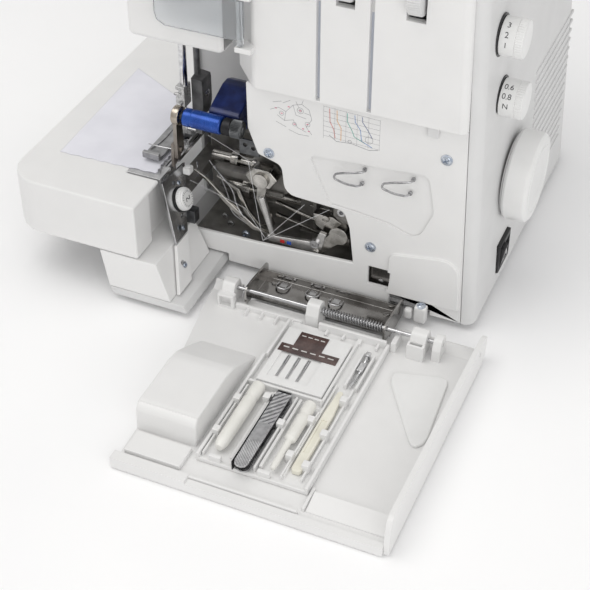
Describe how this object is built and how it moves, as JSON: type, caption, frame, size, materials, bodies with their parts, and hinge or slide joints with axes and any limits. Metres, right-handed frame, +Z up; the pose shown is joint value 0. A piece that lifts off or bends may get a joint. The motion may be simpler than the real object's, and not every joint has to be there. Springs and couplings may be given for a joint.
{
  "type": "serger overlock machine",
  "caption": "Domestic overlock serger with its looper cover folded open, showing loopers, knife, tension dials, tool tray and hinge spring.",
  "frame": {"origin": "middle of the footprint of everything, on the table top it stands on", "axes": "+Z up, +Y to the rear, +X to the operator's right, where the handwheel is; the operator is at -Y"},
  "size_m": [0.334, 0.448, 0.345],
  "materials": {
    "white_plastic": "moulded, fine satin texture",
    "grey_white_plastic": "moulded, satin",
    "black_plastic": "satin",
    "dark_casting": "oiled gunmetal",
    "bright_steel": "polished",
    "looper_steel": "polished",
    "nickel_plate": "nickel plated",
    "blue_anodised": "bright blue gloss",
    "navy_paint": "dark navy satin",
    "black_oxide": "black oxide",
    "foot_grey": "dark satin",
    "foot_rubber": "matt",
    "clear_acrylic": "clear",
    "cream_plastic": "satin"
  },
  "bodies": {
    "machine": {"base_pan": "grey_white_plastic", "foot_front_left": "foot_rubber", "foot_front_right": "foot_rubber", "foot_rear_left": "foot_rubber", "foot_rear_right": "foot_rubber", "arm_column": "white_plastic", "side_plate": "white_plastic", "width_bracket": "bright_steel", "rear_casing": "grey_white_plastic", "front_panel": "white_plastic", "latch_plate": "nickel_plate", "head_cover": "white_plastic", "end_cover": "white_plastic", "top_cover": "white_plastic", "cloth_plate": "white_plastic", "needle_plate": "bright_steel", "machine_frame": "dark_casting", "motor": "black_plastic", "power_inlet": "black_plastic", "lower_knife": "bright_steel", "hinge_bracket": "nickel_plate", "spool_stand": "white_plastic"},
    "needle_bar": {"needle_bar": "bright_steel", "needle_left": "bright_steel", "needle_right": "bright_steel"},
    "presser": {"presser_bar": "black_oxide", "presser_foot": "foot_grey"},
    "presser_lifter": {"presser_lifter": "black_oxide"},
    "upper_knife": {"upper_knife": "bright_steel", "knife_knob": "blue_anodised", "knife_lever": "navy_paint"},
    "lower_looper": {"lower_looper": "looper_steel"},
    "upper_looper": {"upper_looper": "looper_steel"},
    "main_feed": {"main_feed_dog": "bright_steel"},
    "front_feed": {"differential_feed_dog": "bright_steel"},
    "handwheel": {"handwheel": "white_plastic", "main_shaft": "bright_steel"},
    "width_dial": {"width_dial": "white_plastic"},
    "stitch_finger_lever": {"stitch_finger_lever": "white_plastic"},
    "length_dial": {"length_dial": "white_plastic"},
    "differential_dial": {"differential_dial": "white_plastic"},
    "power_switch": {"power_switch": "black_plastic"},
    "eye_shield": {"eye_shield": "clear_acrylic"},
    "carrying_handle": {"carrying_handle": "white_plastic"},
    "thread_pole": {"thread_pole": "bright_steel"},
    "hinge_rod": {"hinge_rod": "bright_steel", "hinge_spring": "bright_steel"},
    "looper_cover": {"looper_cover": "white_plastic", "tool_tray": "white_plastic", "needle_case": "white_plastic", "tweezers": "bright_steel", "screwdriver": "white_plastic", "lint_brush": "white_plastic", "needle_threader": "cream_plastic"},
    "tension_dial_1": {"tension_dial_1": "grey_white_plastic"},
    "tension_dial_2": {"tension_dial_2": "grey_white_plastic"},
    "tension_dial_3": {"tension_dial_3": "grey_white_plastic"},
    "tension_dial_4": {"tension_dial_4": "grey_white_plastic"}
  },
  "joints": [
    {"name": "handwheel_turn", "type": "hinge", "parent": "machine", "child": "handwheel", "pos_m": [0.15, 0.052, 0.085], "axis": [1, 0, 0], "range_deg": [0, 180]},
    {"name": "needle_bar_slide", "type": "slide", "parent": "machine", "child": "needle_bar", "axis": [0, 0, -1], "range_m": [0, 0.0225]},
    {"name": "presser_slide", "type": "slide", "parent": "machine", "child": "presser", "axis": [0, 0, 1], "range_m": [0, 0.005]},
    {"name": "lifter_turn", "type": "hinge", "parent": "machine", "child": "presser_lifter", "pos_m": [-0.03, 0.218, 0.15], "axis": [0, 1, 0], "range_deg": [0, 25]},
    {"name": "upper_knife_swing", "type": "hinge", "parent": "machine", "child": "upper_knife", "pos_m": [-0.04, 0.026, 0.14], "axis": [1, 0, 0], "range_deg": [0, 4.3]},
    {"name": "lower_looper_swing", "type": "hinge", "parent": "machine", "child": "lower_looper", "pos_m": [0.05, -0.008, 0.046], "axis": [0, -1, 0], "range_deg": [0, 4.1]},
    {"name": "upper_looper_swing", "type": "hinge", "parent": "machine", "child": "upper_looper", "pos_m": [-0.008, -0.004, 0.071], "axis": [0, 1, 0], "range_deg": [0, 14.2]},
    {"name": "main_feed_slide", "type": "slide", "parent": "machine", "child": "main_feed", "axis": [0, 1, 0], "range_m": [0, 0.0031]},
    {"name": "front_feed_slide", "type": "slide", "parent": "machine", "child": "front_feed", "axis": [0, 1, 0], "range_m": [0, 0.0031]},
    {"name": "width_dial_turn", "type": "hinge", "parent": "machine", "child": "width_dial", "pos_m": [-0.0582, -0.0317, 0.059], "axis": [0.9272, 0, 0.3746], "range_deg": [0, 180]},
    {"name": "stitch_finger_slide", "type": "slide", "parent": "machine", "child": "stitch_finger_lever", "axis": [0, -1, 0], "range_m": [0, 0.005]},
    {"name": "length_dial_turn", "type": "hinge", "parent": "machine", "child": "length_dial", "pos_m": [0.15, 0.01, 0.209], "axis": [1, 0, 0], "range_deg": [-150, 150]},
    {"name": "differential_dial_turn", "type": "hinge", "parent": "machine", "child": "differential_dial", "pos_m": [0.15, 0.019, 0.162], "axis": [1, 0, 0], "range_deg": [-150, 150]},
    {"name": "power_switch_rock", "type": "hinge", "parent": "machine", "child": "power_switch", "pos_m": [0.151, 0.0372, 0.026], "axis": [0, -1, 0], "range_deg": [0, 14]},
    {"name": "eye_shield_swing", "type": "hinge", "parent": "machine", "child": "eye_shield", "pos_m": [-0.011, -0.0302, 0.2], "axis": [0, 0, 1], "range_deg": [0, 100]},
    {"name": "handle_fold", "type": "hinge", "parent": "machine", "child": "carrying_handle", "pos_m": [0, 0.104, 0.271], "axis": [-1, 0, 0], "range_deg": [0, 90]},
    {"name": "pole_slide", "type": "slide", "parent": "machine", "child": "thread_pole", "axis": [0, 0, 1], "range_m": [0, 0.08]},
    {"name": "cover_slide", "type": "slide", "parent": "machine", "child": "hinge_rod", "axis": [1, 0, 0], "range_m": [0, 0.005], "stiffness_N_per_m": 400, "deforming": ["hinge_spring"]},
    {"name": "cover_hinge", "type": "hinge", "parent": "hinge_rod", "child": "looper_cover", "pos_m": [0, -0.055, 0.0155], "axis": [-1, 0, 0], "range_deg": [0, 90]},
    {"name": "tension_dial_1_turn", "type": "hinge", "parent": "machine", "child": "tension_dial_1", "pos_m": [0.006, -0.021, 0.242], "axis": [1, 0, 0], "range_deg": [-140, 140]},
    {"name": "tension_dial_2_turn", "type": "hinge", "parent": "machine", "child": "tension_dial_2", "pos_m": [0.027, -0.021, 0.242], "axis": [1, 0, 0], "range_deg": [-140, 140]},
    {"name": "tension_dial_3_turn", "type": "hinge", "parent": "machine", "child": "tension_dial_3", "pos_m": [0.056, -0.021, 0.242], "axis": [1, 0, 0], "range_deg": [-140, 140]},
    {"name": "tension_dial_4_turn", "type": "hinge", "parent": "machine", "child": "tension_dial_4", "pos_m": [0.1, -0.021, 0.242], "axis": [1, 0, 0], "range_deg": [-140, 140]}
  ],
  "couplings": [
    {"joint": "needle_bar_slide", "follows": "handwheel_turn", "m_per_rad": 0.007003},
    {"joint": "upper_knife_swing", "follows": "handwheel_turn", "ratio": 0.023333},
    {"joint": "lower_looper_swing", "follows": "handwheel_turn", "ratio": 0.022222},
    {"joint": "upper_looper_swing", "follows": "handwheel_turn", "ratio": 0.077778},
    {"joint": "main_feed_slide", "follows": "handwheel_turn", "m_per_rad": 0.000955},
    {"joint": "front_feed_slide", "follows": "handwheel_turn", "m_per_rad": 0.000955},
    {"joint": "presser_slide", "follows": "lifter_turn", "m_per_rad": 0.010313}
  ]
}
